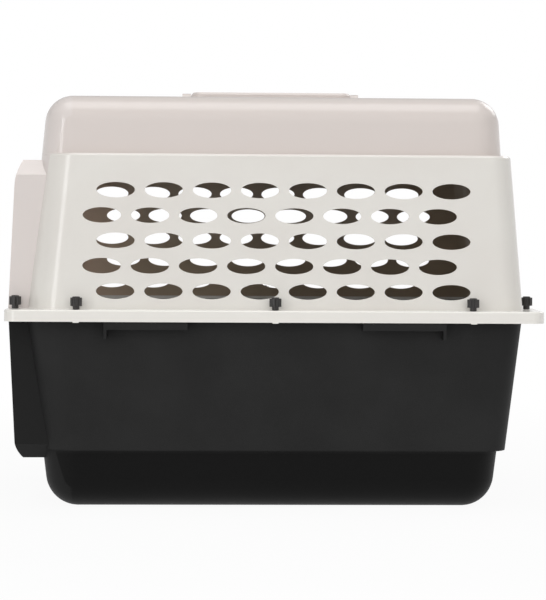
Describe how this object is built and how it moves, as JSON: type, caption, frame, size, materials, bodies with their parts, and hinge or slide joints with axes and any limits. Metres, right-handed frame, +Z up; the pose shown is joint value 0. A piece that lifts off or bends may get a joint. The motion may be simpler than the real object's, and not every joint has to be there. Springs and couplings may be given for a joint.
{
  "type": "plastic pet kennel",
  "caption": "Moulded pet carrier kennel split at a bolted flanged rim, with oval side vents, a hinged wire grille door with a squeeze latch, and a folding roof handle.",
  "frame": {"origin": "on the floor, under the middle of the rim", "axes": "+X from the door to the rear, +Z up, +Y to the side where the door hinges"},
  "size_m": [0.711, 0.521, 0.5654],
  "materials": {
    "upper_plastic": "smooth moulded bone white, soft gloss",
    "lower_plastic": "fine-grained charcoal black moulding, satin",
    "nut_plastic": "moulded dark grey",
    "fastener_plastic": "moulded dark grey",
    "handle_plastic": "smooth moulded bone white",
    "latch_plastic": "moulded charcoal",
    "door_steel": "bright plated wire",
    "small_steel": "plain zinc-plated steel"
  },
  "bodies": {
    "kennel": {"top_shell": "upper_plastic", "bottom_shell": "lower_plastic", "flange_bolts": "fastener_plastic"},
    "door": {"door_hinge_rod": "door_steel", "door_frame_wire": "door_steel", "door_upright_wires": "door_steel", "door_cross_wires": "door_steel", "latch_cover": "latch_plastic", "latch_back_plate": "latch_plastic", "latch_screws": "small_steel", "rod_guides": "latch_plastic", "upper_latch_spring": "small_steel", "lower_latch_spring": "small_steel"},
    "upper_latch": {"upper_latch_slide": "latch_plastic", "upper_latch_rod": "door_steel"},
    "lower_latch": {"lower_latch_slide": "latch_plastic", "lower_latch_rod": "door_steel"},
    "handle": {"carry_handle": "handle_plastic"},
    "front_left_nut": {"front_left_thumb_nut": "nut_plastic"},
    "front_right_nut": {"front_right_thumb_nut": "nut_plastic"},
    "left_front_nut": {"left_front_thumb_nut": "nut_plastic"},
    "left_middle_nut": {"left_middle_thumb_nut": "nut_plastic"},
    "left_rear_nut": {"left_rear_thumb_nut": "nut_plastic"},
    "right_front_nut": {"right_front_thumb_nut": "nut_plastic"},
    "right_middle_nut": {"right_middle_thumb_nut": "nut_plastic"},
    "right_rear_nut": {"right_rear_thumb_nut": "nut_plastic"},
    "rear_left_nut": {"rear_left_thumb_nut": "nut_plastic"},
    "rear_right_nut": {"rear_right_thumb_nut": "nut_plastic"}
  },
  "joints": [
    {"name": "door_hinge", "type": "hinge", "parent": "kennel", "child": "door", "pos_m": [-0.325, 0.18, 0.265], "axis": [0, 0, -1], "range_deg": [0, 105]},
    {"name": "upper_latch_slide", "type": "slide", "parent": "door", "child": "upper_latch", "axis": [0, 0, 1], "range_m": [0, 0.011], "stiffness_N_per_m": 150, "springref_m": 0.02, "deforming": ["upper_latch_spring"]},
    {"name": "lower_latch_slide", "type": "slide", "parent": "door", "child": "lower_latch", "axis": [0, 0, -1], "range_m": [0, 0.011], "stiffness_N_per_m": 150, "springref_m": 0.02, "deforming": ["lower_latch_spring"]},
    {"name": "handle_fold", "type": "hinge", "parent": "kennel", "child": "handle", "pos_m": [0, 0, 0.5592], "axis": [-1, 0, 0], "range_deg": [0, 180]},
    {"name": "front_left_nut_turn", "type": "hinge", "parent": "kennel", "child": "front_left_nut", "pos_m": [-0.3435, -0.214, 0.2683], "axis": [0, 0, 1], "continuous": true},
    {"name": "front_right_nut_turn", "type": "hinge", "parent": "kennel", "child": "front_right_nut", "pos_m": [-0.3435, 0.214, 0.2683], "axis": [0, 0, 1], "continuous": true},
    {"name": "left_front_nut_turn", "type": "hinge", "parent": "kennel", "child": "left_front_nut", "pos_m": [-0.261, -0.2485, 0.2683], "axis": [0, 0, 1], "continuous": true},
    {"name": "left_middle_nut_turn", "type": "hinge", "parent": "kennel", "child": "left_middle_nut", "pos_m": [0, -0.2485, 0.2683], "axis": [0, 0, 1], "continuous": true},
    {"name": "left_rear_nut_turn", "type": "hinge", "parent": "kennel", "child": "left_rear_nut", "pos_m": [0.261, -0.2485, 0.2683], "axis": [0, 0, 1], "continuous": true},
    {"name": "right_front_nut_turn", "type": "hinge", "parent": "kennel", "child": "right_front_nut", "pos_m": [-0.261, 0.2485, 0.2683], "axis": [0, 0, 1], "continuous": true},
    {"name": "right_middle_nut_turn", "type": "hinge", "parent": "kennel", "child": "right_middle_nut", "pos_m": [0, 0.2485, 0.2683], "axis": [0, 0, 1], "continuous": true},
    {"name": "right_rear_nut_turn", "type": "hinge", "parent": "kennel", "child": "right_rear_nut", "pos_m": [0.261, 0.2485, 0.2683], "axis": [0, 0, 1], "continuous": true},
    {"name": "rear_left_nut_turn", "type": "hinge", "parent": "kennel", "child": "rear_left_nut", "pos_m": [0.3435, -0.17, 0.2683], "axis": [0, 0, 1], "continuous": true},
    {"name": "rear_right_nut_turn", "type": "hinge", "parent": "kennel", "child": "rear_right_nut", "pos_m": [0.3435, 0.17, 0.2683], "axis": [0, 0, 1], "continuous": true}
  ]
}
